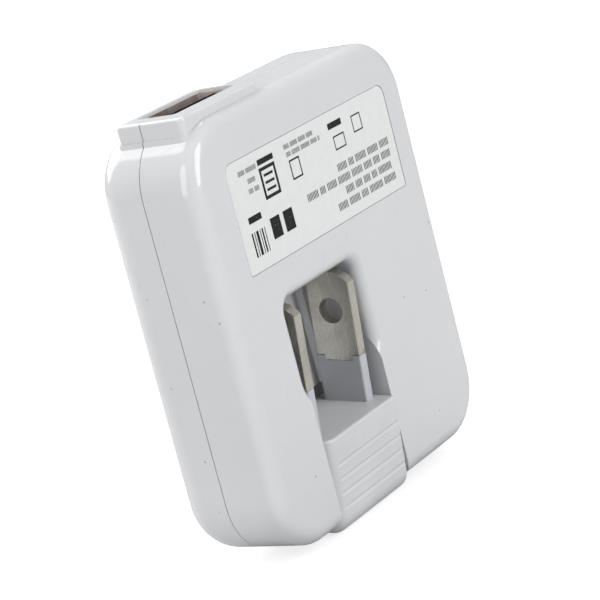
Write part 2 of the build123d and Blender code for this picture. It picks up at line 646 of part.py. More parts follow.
# Detent spring: strip staked to the retainer, its free end beside the swinging carrier.
with BuildPart() as detent_spring:
    with BuildSketch(side_plane(-DETENT_WIDTH / 2)):
        middle = RETAINER_BACK + DETENT_SHEET / 2
        with BuildLine() as strip:
            Polyline(
                (middle, RETAINER_BAR_TOP - DETENT_SHEET),
                (middle, RETAINER_BAR_BOTTOM - DETENT_SHEET),
                (PIVOT_DEPTH + DETENT_REACH, DETENT_TIP_Z),
                (PIVOT_DEPTH + DETENT_REACH + DETENT_TIP_LENGTH, DETENT_TIP_Z - DETENT_TIP_LENGTH),
            )
        trace(strip.line, DETENT_SHEET)
    extrude(amount=DETENT_WIDTH)
    with BuildSketch(depth_plane(RETAINER_BACK)):
        with Locations((0, BOSS_Z)):
            Circle(STAKE_RADIUS + RETAINER_FIT)
    extrude(amount=-DETENT_SHEET, mode=Mode.SUBTRACT)
finish(detent_spring, "detent_spring")

# Contact springs: standing on the board, each touching the end of its pivot pin.
for side_name, side in sides.items():
    with BuildPart() as contact_spring:
        leaf_x = side * (PIN_OUTER_X + CONTACT_GAP)
        with BuildSketch(side_plane(leaf_x)) as leaf:
            half = CONTACT_WIDTH / 2
            box_profile(PIVOT_DEPTH - half, BOARD_FACE, -half, half)
            fillet(leaf.vertices().group_by(Axis.X)[0], half / 2)
        extrude(amount=side * CONTACT_SHEET)
        with BuildSketch(depth_plane(BOARD_FACE)):
            low, high = sorted((leaf_x, leaf_x + side * CONTACT_FOOT))
            box_profile(low, high, -half, half)
        extrude(amount=CONTACT_SHEET)
    finish(contact_spring, "contact_spring_" + side_name)


# ================================================================ components on the board
def upright_lead(x, z, start):
    """Round wire from the given depth through the board."""
    with BuildSketch(depth_plane(start)) as wire:
        with Locations((x, z)):
            Circle(LEAD_RADIUS)
    extrude(wire.sketch, amount=-(LEAD_END - start))
    lead_spots.append((x, z))


def board_box(centre_x, centre_z, width, length, height, gap=0.0):
    """Block lying on the board: width along X, length along Z."""
    with BuildSketch(depth_plane(BOARD_FACE - gap)) as base:
        with Locations((centre_x, centre_z)):
            Rectangle(width, length)
    extrude(base.sketch, amount=height)


def upright_cylinder(centre_x, depth, base_z, radius, length):
    """Cylinder along Z from its base."""
    with BuildSketch(Plane.XY.offset(base_z)) as base:
        with Locations((centre_x, depth)):
            Circle(radius)
    extrude(base.sketch, amount=length)


def lying_can(piece, centre_x, base_z, radius, length, lead_pitch, lead_end):
    """Electrolytic capacitor lying along Z; its leads leave at one end and turn into the board."""
    depth = BOARD_FACE - radius - CAN_GAP
    upright_cylinder(centre_x, depth, base_z, radius, length)
    fillet(piece.faces().filter_by(Axis.Z).edges(), CAN_RIM_RADIUS)
    start_z = base_z if lead_end < 0 else base_z + length
    lead_length = lead_end * (CAN_LEAD_REACH + LEAD_RADIUS)
    for offset in (-lead_pitch / 2, lead_pitch / 2):
        upright_cylinder(centre_x + offset, depth, start_z, LEAD_RADIUS, lead_length)
        upright_lead(centre_x + offset, start_z + lead_end * CAN_LEAD_REACH, depth)


def disc(piece, centre_x, centre_z, radius, thickness, lead_pitch):
    """Coated disc capacitor standing on its edge, with two straight leads."""
    depth = BOARD_FACE - radius - CAN_GAP
    upright_cylinder(centre_x, depth, centre_z - thickness / 2, radius, thickness)
    fillet(piece.faces().filter_by(Axis.Z).edges(), thickness / 3)
    for offset in (-lead_pitch / 2, lead_pitch / 2):
        upright_lead(centre_x + offset, centre_z, depth)


lead_spots = []

# Input storage: two high-voltage electrolytic capacitors side by side.
for number, spot_x in enumerate(INPUT_CAP_X, start=1):
    with BuildPart() as input_capacitor:
        lying_can(
            input_capacitor,
            spot_x,
            INPUT_CAP_BASE,
            INPUT_CAP_RADIUS,
            INPUT_CAP_LENGTH,
            INPUT_CAP_PITCH,
            -1,
        )
    finish(input_capacitor, f"input_capacitor_{number}")

# Output storage capacitor on the other side of the recess.
with BuildPart() as output_capacitor:
    lying_can(
        output_capacitor,
        OUTPUT_CAP_X,
        OUTPUT_CAP_BASE,
        OUTPUT_CAP_RADIUS,
        OUTPUT_CAP_LENGTH,
        OUTPUT_CAP_PITCH,
        1,
    )
finish(output_capacitor, "output_capacitor")

# Disc capacitors: safety capacitor across the transformer and its smaller snubber.
with BuildPart() as safety_capacitor:
    disc(
        safety_capacitor,
        DISC_X,
        SAFETY_DISC_Z,
        SAFETY_DISC_RADIUS,
        SAFETY_DISC_THICKNESS,
        SAFETY_DISC_PITCH,
    )
finish(safety_capacitor, "safety_capacitor")
with BuildPart() as snubber_capacitor:
    disc(
        snubber_capacitor,
        DISC_X,
        SNUBBER_DISC_Z,
        SNUBBER_DISC_RADIUS,
        SNUBBER_DISC_THICKNESS,
        SNUBBER_DISC_PITCH,
    )
finish(snubber_capacitor, "snubber_capacitor")

# Fusible resistor: waisted body lying along X between its two leads.
with BuildPart() as fuse_resistor:
    fuse_depth = BOARD_FACE - FUSE_RADIUS - CAN_GAP
    with BuildSketch(side_plane(FUSE_X - FUSE_LENGTH / 2)):
        with Locations((fuse_depth, FUSE_Z)):
            Circle(FUSE_RADIUS)
    extrude(amount=FUSE_LENGTH)
    fillet(fuse_resistor.faces().filter_by(Axis.X).edges(), FUSE_RADIUS / 2)
    lead_reach = FUSE_LENGTH / 2 + CAN_LEAD_REACH
    with BuildSketch(side_plane(FUSE_X - lead_reach - LEAD_RADIUS)):
        with Locations((fuse_depth, FUSE_Z)):
            Circle(LEAD_RADIUS)
    extrude(amount=2 * (lead_reach + LEAD_RADIUS))
    for end in (-lead_reach, lead_reach):
        upright_lead(FUSE_X + end, FUSE_Z, fuse_depth)
finish(fuse_resistor, "fuse_resistor")

# Bridge rectifier: flat block with four leads at its corners.
with BuildPart() as bridge_rectifier:
    board_box(BRIDGE_X, BRIDGE_Z, BRIDGE_WIDTH, BRIDGE_LENGTH, BRIDGE_HEIGHT, CAN_GAP)
    chamfer(bridge_rectifier.edges().filter_by(Axis.Y), BODY_CHAMFER)
    for offset_x in (-BRIDGE_PITCH_X / 2, BRIDGE_PITCH_X / 2):
        for offset_z in (-BRIDGE_PITCH_Z / 2, BRIDGE_PITCH_Z / 2):
            upright_lead(BRIDGE_X + offset_x, BRIDGE_Z + offset_z, BOARD_FACE - BRIDGE_HEIGHT / 2)
finish(bridge_rectifier, "bridge_rectifier")

# Filter inductor: ferrite drum standing on the board with its copper winding.
choke_top = BOARD_FACE - CAN_GAP - CHOKE_HEIGHT
with BuildPart() as filter_inductor_core:
    with BuildSketch(depth_plane(choke_top)):
        with Locations((CHOKE_X, CHOKE_Z)):
            Circle(CHOKE_RADIUS)
    extrude(amount=-CHOKE_FLANGE)
    with BuildSketch(depth_plane(BOARD_FACE - CAN_GAP)):
        with Locations((CHOKE_X, CHOKE_Z)):
            Circle(CHOKE_RADIUS)
    extrude(amount=CHOKE_FLANGE)
    with BuildSketch(depth_plane(choke_top)):
        with Locations((CHOKE_X, CHOKE_Z)):
            Circle(CHOKE_RADIUS / 2)
    extrude(amount=-CHOKE_HEIGHT)
    for offset in (-CHOKE_RADIUS / 2, CHOKE_RADIUS / 2):
        upright_lead(CHOKE_X + offset, CHOKE_Z, BOARD_FACE - CAN_GAP - CHOKE_FLANGE / 2)
finish(filter_inductor_core, "filter_inductor_core")
with BuildPart() as filter_inductor_winding:
    with BuildSketch(depth_plane(choke_top + CHOKE_FLANGE)):
        with Locations((CHOKE_X, CHOKE_Z)):
            Circle(CHOKE_RADIUS - CHOKE_MARGIN)
            Circle(CHOKE_RADIUS / 2, mode=Mode.SUBTRACT)
    extrude(amount=-(CHOKE_HEIGHT - 2 * CHOKE_FLANGE))
finish(filter_inductor_winding, "filter_inductor_winding")

# Transformer: figure-eight ferrite core, bobbin with pin rails, taped winding.
window_width = (CORE_WIDTH - 2 * CORE_OUTER_LEG - CORE_CENTRE_LEG) / 2
window_height = CORE_HEIGHT - 2 * CORE_YOKE
window_x = (CORE_CENTRE_LEG + window_width) / 2
core_near = TRANSFORMER_Y - CORE_DEPTH / 2
with BuildPart() as transformer_core:
    with BuildSketch(depth_plane(core_near)):
        with Locations((TRANSFORMER_X, TRANSFORMER_Z)):
            Rectangle(CORE_WIDTH, CORE_HEIGHT)
        with Locations(
            (TRANSFORMER_X - window_x, TRANSFORMER_Z),
            (TRANSFORMER_X + window_x, TRANSFORMER_Z),
        ):
            Rectangle(window_width, window_height, mode=Mode.SUBTRACT)
    extrude(amount=-CORE_DEPTH)
finish(transformer_core, "transformer_core")

barrel_width = CORE_CENTRE_LEG + 2 * (BOBBIN_FIT + BOBBIN_WALL)
barrel_depth = CORE_DEPTH + 2 * (BOBBIN_FIT + BOBBIN_WALL)
bobbin_height = window_height - 2 * BOBBIN_FIT
bobbin_bottom = TRANSFORMER_Z - bobbin_height / 2
with BuildPart() as transformer_bobbin:
    with BuildSketch(Plane.XY.offset(bobbin_bottom)):
        with Locations((TRANSFORMER_X, TRANSFORMER_Y)):
            Rectangle(barrel_width, barrel_depth)
    extrude(amount=bobbin_height)
    for flange_z in (bobbin_bottom, bobbin_bottom + bobbin_height - BOBBIN_FLANGE):
        with BuildSketch(Plane.XY.offset(flange_z)):
            with Locations((TRANSFORMER_X, TRANSFORMER_Y)):
                Rectangle(BOBBIN_WIDTH, BOBBIN_DEPTH)
        extrude(amount=BOBBIN_FLANGE)
    rail_near = TRANSFORMER_Y + CORE_DEPTH / 2 + BOBBIN_FIT
    for direction in (-1, 1):
        rail_inner = direction * (bobbin_height / 2 - BOBBIN_FLANGE)
        rail_outer = direction * (CORE_HEIGHT / 2)
        with BuildSketch(depth_plane(rail_near)):
            low, high = sorted((TRANSFORMER_Z + rail_inner, TRANSFORMER_Z + rail_outer))
            half = BOBBIN_WIDTH / 2
            box_profile(TRANSFORMER_X - half, TRANSFORMER_X + half, low, high)
        extrude(amount=-(BOARD_FACE - CAN_GAP - rail_near))
    with BuildSketch(Plane.XY.offset(bobbin_bottom)):
        with Locations((TRANSFORMER_X, TRANSFORMER_Y)):
            Rectangle(CORE_CENTRE_LEG + 2 * BOBBIN_FIT, CORE_DEPTH + 2 * BOBBIN_FIT)
    extrude(amount=bobbin_height, mode=Mode.SUBTRACT)
    pin_row = (bobbin_height + CORE_HEIGHT) / 4
    for direction in (-1, 1):
        for step in range(TRANSFORMER_PIN_COUNT):
            pin_x = TRANSFORMER_X + (step - (TRANSFORMER_PIN_COUNT - 1) / 2) * TRANSFORMER_PIN_PITCH
            upright_lead(pin_x, TRANSFORMER_Z + direction * pin_row, BOARD_FACE - 2 * LEAD_RADIUS)
finish(transformer_bobbin, "transformer_bobbin")

with BuildPart() as transformer_winding:
    with BuildSketch(Plane.XY.offset(bobbin_bottom + BOBBIN_FLANGE)) as coil:
        with Locations((TRANSFORMER_X, TRANSFORMER_Y)):
            RectangleRounded(COIL_WIDTH, COIL_DEPTH, COIL_CORNER)
            Rectangle(barrel_width, barrel_depth, mode=Mode.SUBTRACT)
    extrude(amount=bobbin_height - 2 * BOBBIN_FLANGE)
finish(transformer_winding, "transformer_winding")

# Small semiconductor packages.
with BuildPart() as optocoupler:
    board_box(OPTO_X, OPTO_Z, OPTO_WIDTH, OPTO_LENGTH, OPTO_HEIGHT, CAN_GAP)
    chamfer(optocoupler.faces().sort_by(Axis.Y)[0].edges(), BODY_CHAMFER)
    for offset_x in (-OPTO_PITCH / 2, OPTO_PITCH / 2):
        for direction in (-1, 1):
            row_z = OPTO_Z + direction * (OPTO_LENGTH / 2 + LEAD_RADIUS / 2)
            upright_lead(OPTO_X + offset_x, row_z, BOARD_FACE - OPTO_HEIGHT / 2)
finish(optocoupler, "optocoupler")

with BuildPart() as output_diode:
    board_box(DIODE_X, DIODE_Z, DIODE_WIDTH, DIODE_LENGTH + 2 * TAB_REACH, TAB_SHEET)
    board_box(DIODE_X, DIODE_Z, DIODE_WIDTH + 2 * TAB_SHEET, DIODE_LENGTH, DIODE_HEIGHT)
    chamfer(output_diode.faces().sort_by(Axis.Y)[0].edges(), BODY_CHAMFER)
finish(output_diode, "output_diode")

with BuildPart() as controller_chip:
    board_box(CHIP_X, CHIP_Z, CHIP_LENGTH, CHIP_WIDTH, CHIP_HEIGHT)
    chamfer(controller_chip.faces().sort_by(Axis.Y)[0].edges(), BODY_CHAMFER)
    for step in range(CHIP_LEGS_PER_SIDE):
        leg_x = CHIP_X + (step - (CHIP_LEGS_PER_SIDE - 1) / 2) * CHIP_LEG_PITCH
        board_box(leg_x, CHIP_Z, TAB_SHEET * 2, CHIP_WIDTH + 2 * TAB_REACH, TAB_SHEET)
finish(controller_chip, "controller_chip")

# Chip resistors behind the recess, all alike and soldered flat.
with BuildPart() as chip_resistors:
    with BuildSketch(depth_plane(BOARD_FACE)):
        with Locations(*CHIP_RESISTOR_SPOTS):
            Rectangle(CHIP_RESISTOR_LENGTH, CHIP_RESISTOR_WIDTH)
    extrude(amount=CHIP_RESISTOR_HEIGHT)
finish(chip_resistors, "chip_resistors")

# ================================================================ USB socket
port_low_x = PORT_CENTRE_X - USB_SHELL_WIDTH / 2
port_high_x = PORT_CENTRE_X + USB_SHELL_WIDTH / 2
port_low_y = PORT_CENTRE_Y - USB_SHELL_DEPTH / 2
port_high_y = PORT_CENTRE_Y + USB_SHELL_DEPTH / 2
contact_offsets = (-USB_CONTACT_OUTER, -USB_CONTACT_INNER, USB_CONTACT_INNER, USB_CONTACT_OUTER)
contact_x = [PORT_CENTRE_X + offset for offset in contact_offsets]

# Folded metal shell with its two retaining windows on each wide side and two legs.
with BuildPart() as usb_shell:
    with BuildSketch(Plane.XY.offset(USB_SHELL_BACK_Z)):
        with Locations((PORT_CENTRE_X, PORT_CENTRE_Y)):
            RectangleRounded(USB_SHELL_WIDTH, USB_SHELL_DEPTH, USB_SHELL_CORNER)
    extrude(amount=USB_SHELL_MOUTH_Z - USB_SHELL_BACK_Z)
    with BuildSketch(Plane.XY.offset(USB_SHELL_BACK_Z + USB_SHELL_SHEET)):
        with Locations((PORT_CENTRE_X, PORT_CENTRE_Y)):
            RectangleRounded(
                USB_SHELL_WIDTH - 2 * USB_SHELL_SHEET,
                USB_SHELL_DEPTH - 2 * USB_SHELL_SHEET,
                USB_SHELL_CORNER - USB_SHELL_SHEET,
            )
    extrude(amount=USB_SHELL_MOUTH_Z - USB_SHELL_BACK_Z, mode=Mode.SUBTRACT)
    with BuildSketch(depth_plane(port_low_y - USB_SHELL_SHEET)):
        with Locations((PORT_CENTRE_X, USB_WINDOW_Z)):
            with GridLocations(USB_WINDOW_PITCH, 0, 2, 1):
                Rectangle(USB_WINDOW_WIDTH, USB_WINDOW_LENGTH)
    extrude(amount=-(USB_SHELL_DEPTH + 2 * USB_SHELL_SHEET), mode=Mode.SUBTRACT)
    with BuildSketch(Plane.XY.offset(USB_SHELL_BACK_Z)):
        box_profile(
            contact_x[0] - USB_CONTACT_WIDTH,
            contact_x[-1] + USB_CONTACT_WIDTH,
            USB_TONGUE_FAR - USB_SHELL_SHEET,
            USB_TONGUE_FAR + 2 * USB_SHELL_SHEET,
        )
    extrude(amount=USB_SHELL_SHEET, mode=Mode.SUBTRACT)
    for leg_x in (port_low_x, port_high_x - USB_SHELL_SHEET):
        with BuildSketch(side_plane(leg_x)):
            low = USB_LEG_Z - USB_LEG_WIDTH / 2
            high = USB_LEG_Z + USB_LEG_WIDTH / 2
            box_profile(port_high_y - USB_SHELL_CORNER - USB_SHELL_SHEET, LEAD_END, low, high)
        extrude(amount=USB_SHELL_SHEET)
finish(usb_shell, "usb_shell")

# Insulator: rear block and the tongue that carries the contacts.
with BuildPart() as usb_tongue:
    inner_gap = USB_SHELL_SHEET + PORT_CLEARANCE
    with BuildSketch(Plane.XY.offset(USB_SHELL_BACK_Z + inner_gap)):
        box_profile(
            port_low_x + inner_gap,
            port_high_x - inner_gap,
            port_low_y + inner_gap,
            port_high_y - inner_gap,
        )
    extrude(amount=USB_BLOCK_LENGTH)
    chamfer(usb_tongue.edges().filter_by(Axis.Z), USB_SHELL_SHEET)
    with BuildSketch(Plane.XY.offset(USB_SHELL_BACK_Z + inner_gap)):
        half = USB_TONGUE_WIDTH / 2
        box_profile(PORT_CENTRE_X - half, PORT_CENTRE_X + half, USB_TONGUE_NEAR, USB_TONGUE_FAR)
    extrude(amount=USB_TONGUE_TOP - USB_SHELL_BACK_Z - inner_gap)
    chamfer(usb_tongue.faces().sort_by(Axis.Z)[-1].edges(), USB_SHELL_SHEET)
    with BuildSketch(Plane.XY.offset(USB_SHELL_BACK_Z)):
        for x in contact_x:
            half = USB_CONTACT_WIDTH / 2 + PORT_CLEARANCE
            slot_far = USB_TONGUE_FAR + 2 * PORT_CLEARANCE + CONTACT_STRIP
            box_profile(x - half, x + half, USB_TONGUE_FAR, slot_far)
    extrude(amount=USB_BLOCK_LENGTH + inner_gap, mode=Mode.SUBTRACT)
finish(usb_tongue, "usb_tongue")

# Four contact strips on the tongue, bent at the back into the board.
with BuildPart() as usb_contacts:
    for x in contact_x:
        low = x - USB_CONTACT_WIDTH / 2
        with BuildSketch(side_plane(low)):
            strip_far = USB_TONGUE_FAR + CONTACT_STRIP
            box_profile(USB_TONGUE_FAR, strip_far, USB_TAIL_Z, USB_TONGUE_TOP - USB_SHELL_SHEET * 2)
            box_profile(USB_TONGUE_FAR, BOARD_FACE - CAN_GAP, USB_TAIL_Z, USB_TAIL_Z + CONTACT_STRIP)
        extrude(amount=USB_CONTACT_WIDTH)
        upright_lead(x, USB_TAIL_Z + CONTACT_STRIP / 2, BOARD_FACE - CAN_GAP - LEAD_RADIUS)
finish(usb_contacts, "usb_contacts")

# ================================================================ circuit board
# U-shaped board around the carrier bay, drilled for every lead, guide pin and screw head.
with BuildPart() as main_board:
    with BuildSketch(depth_plane(BOARD_FACE)):
        board_centre = ((BOARD_LEFT + BOARD_RIGHT) / 2, (BOARD_BOTTOM + BOARD_TOP) / 2)
        with Locations(board_centre):
            RectangleRounded(BOARD_RIGHT - BOARD_LEFT, BOARD_TOP - BOARD_BOTTOM, BOARD_CORNER)
        box_profile(
            -BOARD_WINDOW_HALF_WIDTH,
            BOARD_WINDOW_HALF_WIDTH,
            BOARD_BOTTOM - OVERRUN,
            BOARD_WINDOW_TOP,
            mode=Mode.SUBTRACT,
        )
        with Locations(*BOSS_SPOTS):
            Circle(SCREW_HEAD_RADIUS + LEAD_HOLE_RADIUS, mode=Mode.SUBTRACT)
        with Locations(*GUIDE_SPOTS):
            Circle(GUIDE_HOLE_RADIUS, mode=Mode.SUBTRACT)
        with Locations(*lead_spots):
            Circle(LEAD_HOLE_RADIUS, mode=Mode.SUBTRACT)
        for leg_x in (port_low_x, port_high_x - USB_SHELL_SHEET):
            with Locations((leg_x + USB_SHELL_SHEET / 2, USB_LEG_Z)):
                Rectangle(
                    USB_SHELL_SHEET + 2 * PORT_CLEARANCE,
                    USB_LEG_WIDTH + 2 * PORT_CLEARANCE,
                    mode=Mode.SUBTRACT,
                )
    extrude(amount=-BOARD_THICKNESS)
finish(main_board, "main_board")
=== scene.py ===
import json
import math
import random

import bmesh
import bpy
from mathutils import Matrix, Vector


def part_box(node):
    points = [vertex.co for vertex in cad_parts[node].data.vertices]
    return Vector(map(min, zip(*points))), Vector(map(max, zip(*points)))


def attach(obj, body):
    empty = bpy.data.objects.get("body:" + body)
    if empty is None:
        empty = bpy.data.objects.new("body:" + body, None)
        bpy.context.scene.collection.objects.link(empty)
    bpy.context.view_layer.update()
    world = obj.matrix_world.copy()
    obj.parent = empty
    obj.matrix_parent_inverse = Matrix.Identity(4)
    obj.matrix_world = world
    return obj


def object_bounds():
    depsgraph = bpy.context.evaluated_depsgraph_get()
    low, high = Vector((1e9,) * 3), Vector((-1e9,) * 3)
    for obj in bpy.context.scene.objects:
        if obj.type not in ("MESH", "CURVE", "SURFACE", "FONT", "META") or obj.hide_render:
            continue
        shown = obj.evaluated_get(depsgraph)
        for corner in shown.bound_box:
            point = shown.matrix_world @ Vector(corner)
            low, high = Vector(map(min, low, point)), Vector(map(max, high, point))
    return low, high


# Looks of the folding-plug USB wall charger: materials, printed label, studio and camera.
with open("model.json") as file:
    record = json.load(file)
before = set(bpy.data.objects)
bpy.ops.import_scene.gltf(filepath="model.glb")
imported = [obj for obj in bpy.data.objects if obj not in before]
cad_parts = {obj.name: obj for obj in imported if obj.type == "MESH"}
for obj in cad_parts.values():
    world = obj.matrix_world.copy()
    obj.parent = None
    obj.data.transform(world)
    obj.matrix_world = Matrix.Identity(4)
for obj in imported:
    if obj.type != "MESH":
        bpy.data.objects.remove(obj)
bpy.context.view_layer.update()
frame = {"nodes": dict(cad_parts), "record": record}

MM = 0.001
WHITE = (0.55, 0.555, 0.57)
SUBSURFACE_REACH = 0.6 * MM

# Label printing, in millimetres on the wall face: x runs along the fold axis, z towards the USB end.
# Rows hold start, end and middle height. Bars and blocks hold left, right, bottom and top. Frames hold
# middle x, middle z, width, height and line width. Stripes hold left and width.
INK_DEPTH = 0.006
RATING_TICK_HEIGHT = 0.95
SMALL_TICK_HEIGHT = 0.6
TICK_PITCH = 0.34
TICK_STROKE = 0.17
TICK_GROUP = (4, 11)
TICK_GROUP_GAP = 1.3
RATING_ROWS = ((7.6, 21.6, 30.4), (10.1, 21.8, 31.95), (1.5, 21.7, 33.5), (9.4, 21.9, 35.0))
SMALL_ROWS = (
    (-0.8, 5.8, 40.7),
    (-0.6, 7.0, 39.7),
    (-11.2, -7.2, 40.4),
    (-9.6, -7.8, 39.1),
    (-9.9, -7.6, 37.9),
)
BARS = ((9.4, 12.6, 39.9, 40.7), (-6.9, -3.4, 40.2, 40.9))
FRAMES = (
    (16.0, 39.1, 2.2, 2.2, 0.18),
    (11.3, 38.0, 2.6, 1.8, 0.18),
    (0.7, 37.7, 2.3, 2.5, 0.22),
    (-5.2, 37.9, 3.5, 3.9, 0.42),
)
LIST_LINE_MIDDLES = (37.0, 37.9, 38.8)
LIST_LINE_LEFT = -6.2
LIST_LINE_RIGHT = -4.2
LIST_LINE_HALF_HEIGHT = 0.16
STRIPE_BAR = (-11.5, -8.7, 34.3, 35.1)
STRIPES = ((-11.6, 0.3), (-11.0, 0.15), (-10.6, 0.5), (-9.8, 0.15), (-9.4, 0.3), (-8.8, 0.15))
STRIPE_BOTTOM = 30.2
STRIPE_TOP = 33.2
BLOCKS = ((-7.3, -5.2, 31.1, 33.7), (-4.4, -2.3, 31.1, 33.7))

# Studio, in metres and watts. Lamps hold direction from the charger, distance, width and height, and power.
FLOOR_GREY = 0.45
FLOOR_GLOW = 0.72
FLOOR_SIZE = 6.0
FLOOR_GAP = 0.2 * MM
LAMP_AIM = Vector((4.0, 8.0, 21.0)) * MM
LAMPS = {
    "key_light": ((-0.03, -1.0, 0.35), 1.0, (0.5, 1.0), 9.6),
    "top_light": ((0.35, 0.9, 0.9), 0.5, (0.6, 0.6), 4.2),
    "side_light": ((-1.0, 0.2, 0.3), 0.6, (0.35, 0.6), 2.4),
}

# Surroundings: their light is weaker around the direction that points back at the camera.
TOWARDS_CAMERA = (-0.789, -0.570, 0.230)
FALL_START = 0.55
STRENGTH_AROUND = 0.62
STRENGTH_AT_CAMERA = 0.3

# Camera: angles in degrees, aim, distance and lens, fitted to the outline in the photograph.
CAMERA_AZIMUTH = 54.17
CAMERA_ELEVATION = 13.30
CAMERA_ROLL = 14.66
CAMERA_AIM = Vector((3.23, 6.32, 20.26)) * MM
CAMERA_DISTANCE = 334.5 * MM
SENSOR_WIDTH = 36.0
LENS = 160.42
CLIP_START = 0.01
CLIP_END = 20.0


# ---------------------------------------------------------------- shader helpers
class Shader:
    """A material under construction: short calls for the nodes that the finishes share."""

    def __init__(self, name):
        self.material = bpy.data.materials.new(name)
        self.material.use_nodes = True
        self.tree = self.material.node_tree
        self.tree.nodes.clear()
        self.output = self.add("ShaderNodeOutputMaterial")
        self.surface = self.add("ShaderNodeBsdfPrincipled")
        self.link(self.surface, "BSDF", self.output, "Surface")
        self.coordinates = self.add("ShaderNodeTexCoord")
        self.place = (self.coordinates, "Object")

    def add(self, kind, **settings):
        node = self.tree.nodes.new(kind)
        for key, value in settings.items():
            setattr(node, key, value)
        return node

    def link(self, source, output, target, socket):
        self.tree.links.new(source.outputs[output], target.inputs[socket])

    def stretched(self, scale):
        """Object coordinates scaled per axis, so that noise becomes grain along one of them."""
        mapping = self.add("ShaderNodeMapping")
        self.link(*self.place, mapping, "Vector")
        mapping.inputs["Scale"].default_value = scale
        return (mapping, "Vector")

    def noise(self, scale, detail=2.0, roughness=0.5, place=None):
        node = self.add("ShaderNodeTexNoise")
        self.link(*(place or self.place), node, "Vector")
        node.inputs["Scale"].default_value = scale
        node.inputs["Detail"].default_value = detail
        node.inputs["Roughness"].default_value = roughness
        return (node, "Fac")

    def cells(self, scale, place=None):
        """Distance to the nearest random point, for specks and pits."""
        node = self.add("ShaderNodeTexVoronoi")
        self.link(*(place or self.place), node, "Vector")
        node.inputs["Scale"].default_value = scale
        return (node, "Distance")

    def remap(self, source, low, high, out_low=0.0, out_high=1.0):
        node = self.add("ShaderNodeMapRange")
        self.link(*source, node, "Value")
        node.inputs["From Min"].default_value = low
        node.inputs["From Max"].default_value = high
        node.inputs["To Min"].default_value = out_low
        node.inputs["To Max"].default_value = out_high
        return (node, "Result")

    def math(self, operation, first, second):
        node = self.add("ShaderNodeMath", operation=operation)
        for socket, value in zip(node.inputs, (first, second)):
            if isinstance(value, tuple):
                self.tree.links.new(value[0].outputs[value[1]], socket)
            else:
                socket.default_value = value
        return (node, "Value")

    def mix(self, factor, first, second):
        """Colour between two colours by a factor."""
        node = self.add("ShaderNodeMix", data_type="RGBA")
        self.link(*factor, node, "Factor")
        colours = [socket for socket in node.inputs if socket.type == "RGBA"]
        for socket, value in zip(colours, (first, second)):
            if isinstance(value, tuple) and len(value) == 2:
                self.tree.links.new(value[0].outputs[value[1]], socket)
            else:
                socket.default_value = (*value, 1.0)
        result = [index for index, socket in enumerate(node.outputs) if socket.type == "RGBA"][0]
        return (node, result)

    def set(self, **inputs):
        for name, value in inputs.items():
            socket = self.surface.inputs[name.replace("_", " ")]
            if isinstance(value, tuple) and len(value) == 2:
                self.tree.links.new(value[0].outputs[value[1]], socket)
            elif isinstance(value, tuple):
                socket.default_value = (*value, 1.0)
            else:
                socket.default_value = value
        return self

    def bump(self, height, distance, strength=1.0):
        node = self.add("ShaderNodeBump")
        self.link(*height, node, "Height")
        node.inputs["Distance"].default_value = distance
        node.inputs["Strength"].default_value = strength
        self.link(node, "Normal", self.surface, "Normal")
        return self


def moulded_plastic(name, colour, roughness):
    """Glossy injection-moulded plastic: faint orange peel, uneven sheen, rubbed hairlines and specks."""
    shader = Shader(name)
    tint = shader.remap(shader.noise(45.0, detail=3.0), 0.3, 0.7)
    base = shader.mix(tint, tuple(0.97 * part for part in colour), colour)
    dots = shader.remap(shader.cells(420.0), 0.05, 0.085, 0.6, 0.0)
    rarity = shader.remap(shader.noise(160.0, detail=1.0), 0.5, 0.53)
    speck = shader.math("MULTIPLY", dots, rarity)
    base = shader.mix(speck, base, tuple(0.4 * part for part in colour))
    ridge = shader.math("ABSOLUTE", shader.math("SUBTRACT", shader.noise(150.0, detail=1.5), 0.5), 0.0)
    patches = shader.remap(shader.noise(330.0, detail=1.0), 0.62, 0.66)
    hairline = shader.math("MULTIPLY", shader.remap(ridge, 0.001, 0.004, 1.0, 0.0), patches)
    base = shader.mix(shader.math("MULTIPLY", hairline, 0.35), base, tuple(0.7 * part for part in colour))
    cloudy = shader.remap(shader.noise(70.0, detail=4.0), 0.3, 0.7, roughness * 0.8, roughness * 1.25)
    sheen = shader.math("ADD", cloudy, shader.math("MULTIPLY", hairline, 0.08))
    shader.set(Base_Color=base, Roughness=sheen, IOR=1.49, Subsurface_Weight=0.08)
    shader.surface.inputs["Subsurface Radius"].default_value = (1.0, 1.0, 1.0)
    shader.set(Subsurface_Scale=SUBSURFACE_REACH)
    shader.bump(shader.noise(900.0, detail=2.0), 0.004 * MM, 0.5)
    return shader.material


def matt_plastic(name, colour, roughness, grain=0.01, specular=0.5):
    """Plain inner plastic with a spark-eroded grain."""
    shader = Shader(name)
    tint = shader.remap(shader.noise(120.0, detail=3.0), 0.3, 0.7)
    shader.set(Base_Color=shader.mix(tint, tuple(0.9 * part for part in colour), colour))
    cloudy = shader.remap(shader.noise(300.0, detail=4.0), 0.2, 0.8, roughness * 0.85, roughness * 1.1)
    shader.set(Roughness=cloudy)
    shader.set(Specular_IOR_Level=specular)
    shader.bump(shader.noise(2600.0, detail=3.0), grain * MM, 0.6)
    return shader.material


